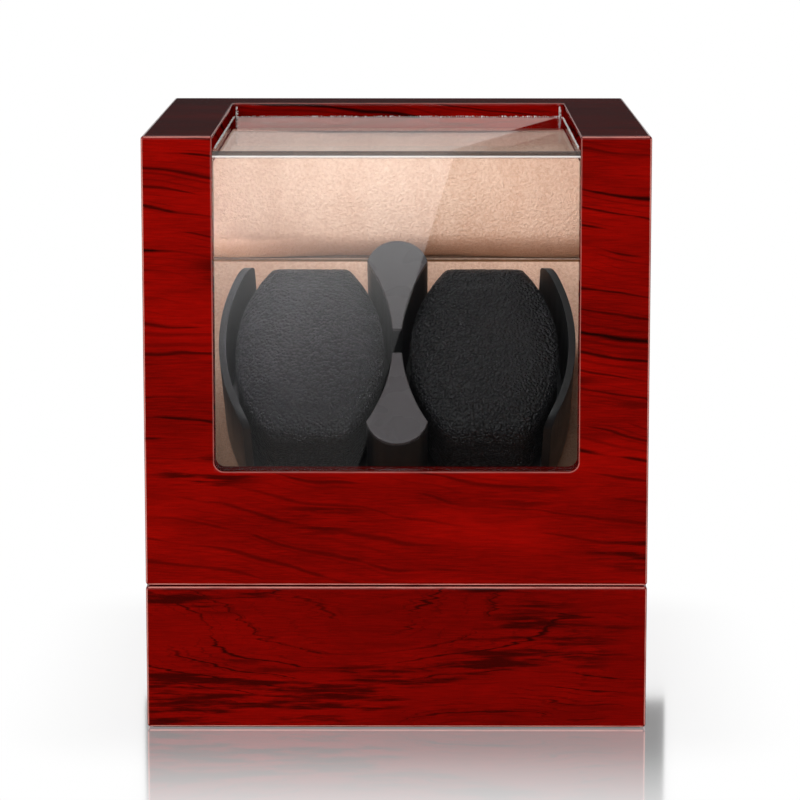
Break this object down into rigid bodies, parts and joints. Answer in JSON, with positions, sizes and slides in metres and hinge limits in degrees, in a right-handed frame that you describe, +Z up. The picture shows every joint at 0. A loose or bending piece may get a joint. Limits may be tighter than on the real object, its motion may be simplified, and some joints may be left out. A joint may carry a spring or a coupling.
{
  "type": "watch winder box",
  "caption": "Lacquered wooden watch winder box with a hinged windowed lid, a tilted motor-driven rotor that carries watch pillows, and a suede-lined interior",
  "frame": {"origin": "centre of the case's footprint, on the felt underside that the box stands on", "axes": "+X right and +Y back as seen from the front, +Z up"},
  "size_m": [0.18, 0.183, 0.215],
  "materials": {
    "lacquered_wood": "dark-veined red veneer under high-gloss lacquer",
    "bare_board": "plain fibreboard",
    "felt": "black felt",
    "suede": "fine-napped beige suede cloth",
    "clear_acrylic": "clear polished acrylic",
    "rotor_plastic": "black moulded plastic",
    "cap_gloss": "glossy dark grey plastic",
    "pillow_leather": "black pebble-grained leatherette",
    "bronze": "sintered bronze",
    "drive_plastic": "black moulded plastic",
    "gear_plastic": "natural acetal",
    "steel": "bright plated steel",
    "lead_insulation": "insulated wire",
    "circuit_board": "green solder mask",
    "panel_plastic": "black plastic",
    "panel_metal": "nickel plate",
    "hinge_brass": "polished brass plate"
  },
  "bodies": {
    "base": {"base_front": "lacquered_wood", "base_back": "lacquered_wood", "base_left": "lacquered_wood", "base_right": "lacquered_wood", "base_floor": "bare_board", "base_felt": "felt", "base_left_lining": "suede", "base_right_lining": "suede", "base_front_lining": "suede", "base_floor_lining": "suede", "deck_board": "bare_board", "deck_lining": "suede", "deck_cheek_left": "bare_board", "deck_cheek_right": "bare_board", "front_bush": "bronze", "rear_bush": "bronze", "gear_housing": "drive_plastic", "gear_cover": "drive_plastic", "housing_screws": "steel", "cover_screws": "steel", "motor_screws": "steel", "gearhead": "steel", "motor": "steel", "motor_leads": "lead_insulation", "control_board": "circuit_board", "power_inlet": "panel_plastic", "inlet_ring": "panel_metal", "mode_switch": "panel_plastic", "switch_nut": "panel_metal", "hinge_base_leaves": "hinge_brass", "hinge_pins": "steel", "hinge_base_screws": "hinge_brass"},
    "lid": {"lid_front": "lacquered_wood", "lid_back": "lacquered_wood", "lid_left": "lacquered_wood", "lid_right": "lacquered_wood", "lid_top": "lacquered_wood", "window_pane": "clear_acrylic", "lid_roll": "suede", "lid_left_lining": "suede", "lid_right_lining": "suede", "lid_front_lining": "suede", "lid_back_lining": "suede", "hinge_lid_leaves": "hinge_brass", "hinge_lid_screws": "hinge_brass"},
    "rotor": {"rotor_cup": "rotor_plastic", "upper_post_cap": "cap_gloss", "lower_post_cap": "cap_gloss", "rotor_shaft": "steel", "rotor_screw": "steel", "rotor_gear": "gear_plastic"},
    "pinion": {"pinion_gear": "gear_plastic", "pinion_shaft": "steel"},
    "pillow_left": {"pillow_left": "pillow_leather"},
    "pillow_right": {"pillow_right": "pillow_leather"},
    "mode_knob": {"mode_knob": "panel_plastic", "mode_shaft": "steel"}
  },
  "joints": [
    {"name": "lid_hinge", "type": "hinge", "parent": "base", "child": "lid", "pos_m": [0, 0.0856, 0.0532], "axis": [-1, 0, 0], "range_deg": [0, 95]},
    {"name": "rotor_spin", "type": "hinge", "parent": "base", "child": "rotor", "pos_m": [0, -0.025, 0.1333], "axis": [0, -0.7986, 0.6018], "continuous": true},
    {"name": "pinion_spin", "type": "hinge", "parent": "base", "child": "pinion", "pos_m": [0, -0.04233, 0.1103], "axis": [0, -0.7986, 0.6018], "continuous": true},
    {"name": "pillow_left_slide", "type": "slide", "parent": "rotor", "child": "pillow_left", "axis": [0, -0.7986, 0.6018], "range_m": [0, 0.012]},
    {"name": "pillow_right_slide", "type": "slide", "parent": "rotor", "child": "pillow_right", "axis": [0, -0.7986, 0.6018], "range_m": [0, 0.012]},
    {"name": "mode_turn", "type": "hinge", "parent": "base", "child": "mode_knob", "pos_m": [-0.03, 0.085, 0.029], "axis": [0, 1, 0], "range_deg": [0, 120]}
  ],
  "couplings": [
    {"joint": "pinion_spin", "follows": "rotor_spin", "ratio": -3}
  ]
}
